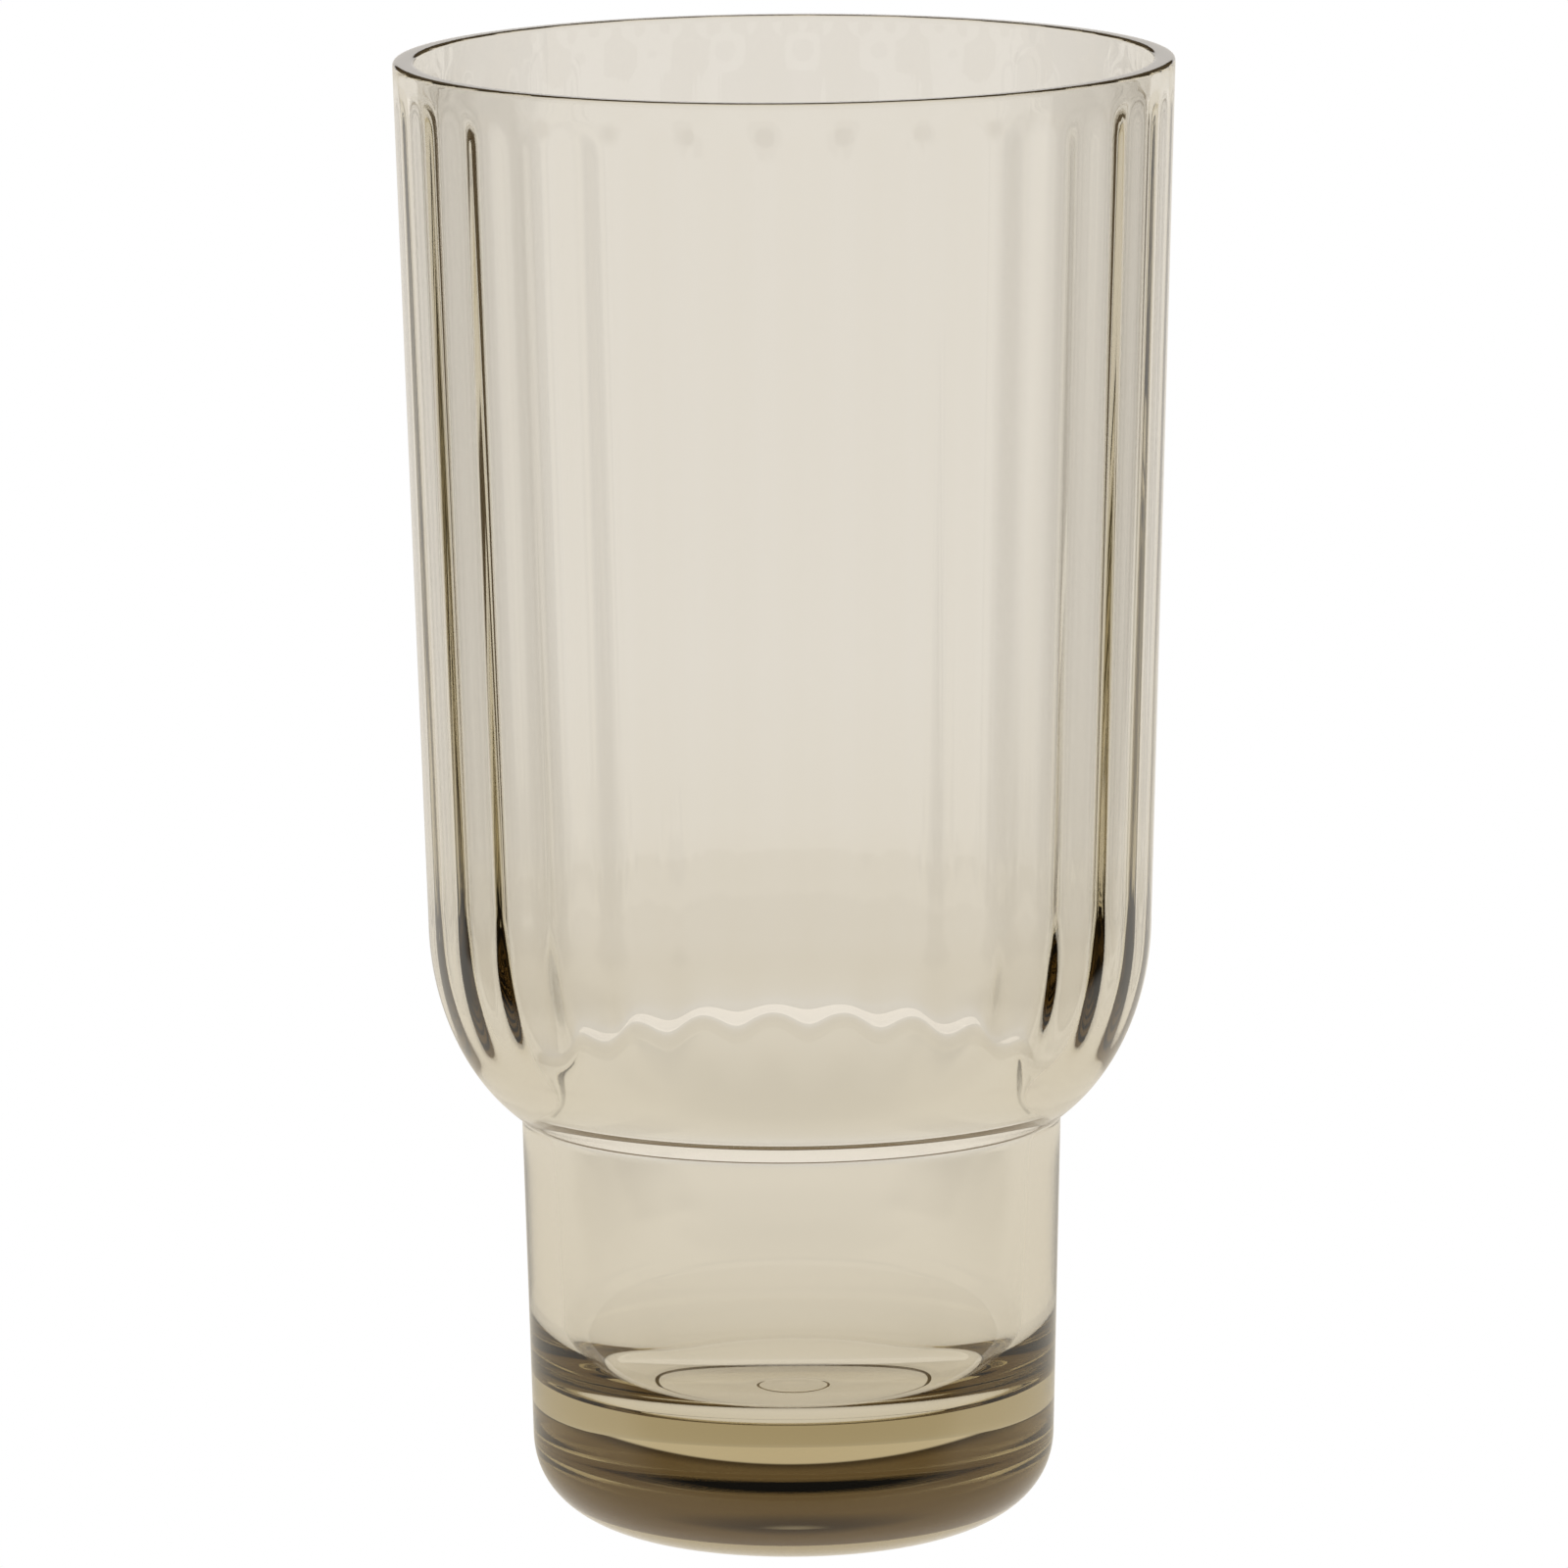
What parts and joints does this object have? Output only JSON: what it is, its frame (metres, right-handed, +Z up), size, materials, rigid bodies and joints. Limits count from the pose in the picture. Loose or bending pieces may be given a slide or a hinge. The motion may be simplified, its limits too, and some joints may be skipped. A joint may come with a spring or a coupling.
{
  "type": "stepped glass vase",
  "caption": "Tall tumbler-shaped flower vase of smoke-tinted glass: wide fluted body, rounded shoulder, narrow thick-based foot.",
  "frame": {"origin": "centre of the underside, on the plane the vase stands on", "axes": "+Z up along the vase's axis to its open mouth; -Y is the side seen straight on"},
  "size_m": [0.1046, 0.1046, 0.2],
  "materials": {
    "smoke_glass": "fire-polished clear gloss, grey-beige tint through the whole thickness"
  },
  "bodies": {
    "root": {"glass_vessel": "smoke_glass"}
  },
  "joints": []
}
